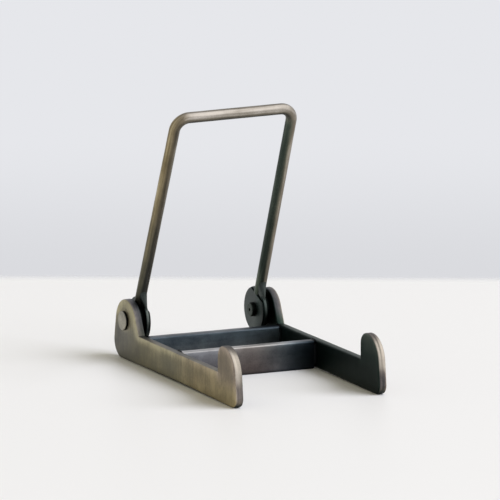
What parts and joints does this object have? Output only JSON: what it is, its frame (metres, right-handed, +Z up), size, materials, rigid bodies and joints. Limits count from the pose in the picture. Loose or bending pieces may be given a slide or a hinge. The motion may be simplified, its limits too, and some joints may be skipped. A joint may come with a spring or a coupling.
{
  "type": "photo album stand",
  "caption": "Small desktop easel in antique brass: hooked side plates joined by crossbars, and a bent wire backrest that tilts on rivets, to hold a photo album upright.",
  "frame": {"origin": "on the surface it stands on, below the middle of its length and width", "axes": "+X to the right, +Y to the back (the hooks point to -Y), +Z up; the backrest's hinge lies along X"},
  "size_m": [0.0604, 0.104, 0.0949],
  "materials": {
    "plate_brass": "brushed antique brass, olive tan, pale worn edges",
    "crossbar_brass": "antiqued dark, nearly gunmetal",
    "wire_brass": "satin antique brass, darkened in places",
    "disc_brass": "antiqued dark grey-green",
    "rivet_brass": "satin antique brass"
  },
  "bodies": {
    "base": {"left_side_plate": "plate_brass", "right_side_plate": "plate_brass", "rear_crossbar": "crossbar_brass", "front_crossbar": "crossbar_brass", "left_spacer_washer": "disc_brass", "left_rivet": "rivet_brass", "right_spacer_washer": "disc_brass", "right_rivet": "rivet_brass"},
    "backrest": {"backrest_wire": "wire_brass", "left_eye_plate": "disc_brass", "right_eye_plate": "disc_brass", "left_inner_washer": "disc_brass", "right_inner_washer": "disc_brass"}
  },
  "joints": [
    {"name": "backrest_tilt", "type": "hinge", "parent": "base", "child": "backrest", "pos_m": [0, 0.04295, 0.0141], "axis": [1, 0, 0], "range_deg": [-118, 70]}
  ]
}
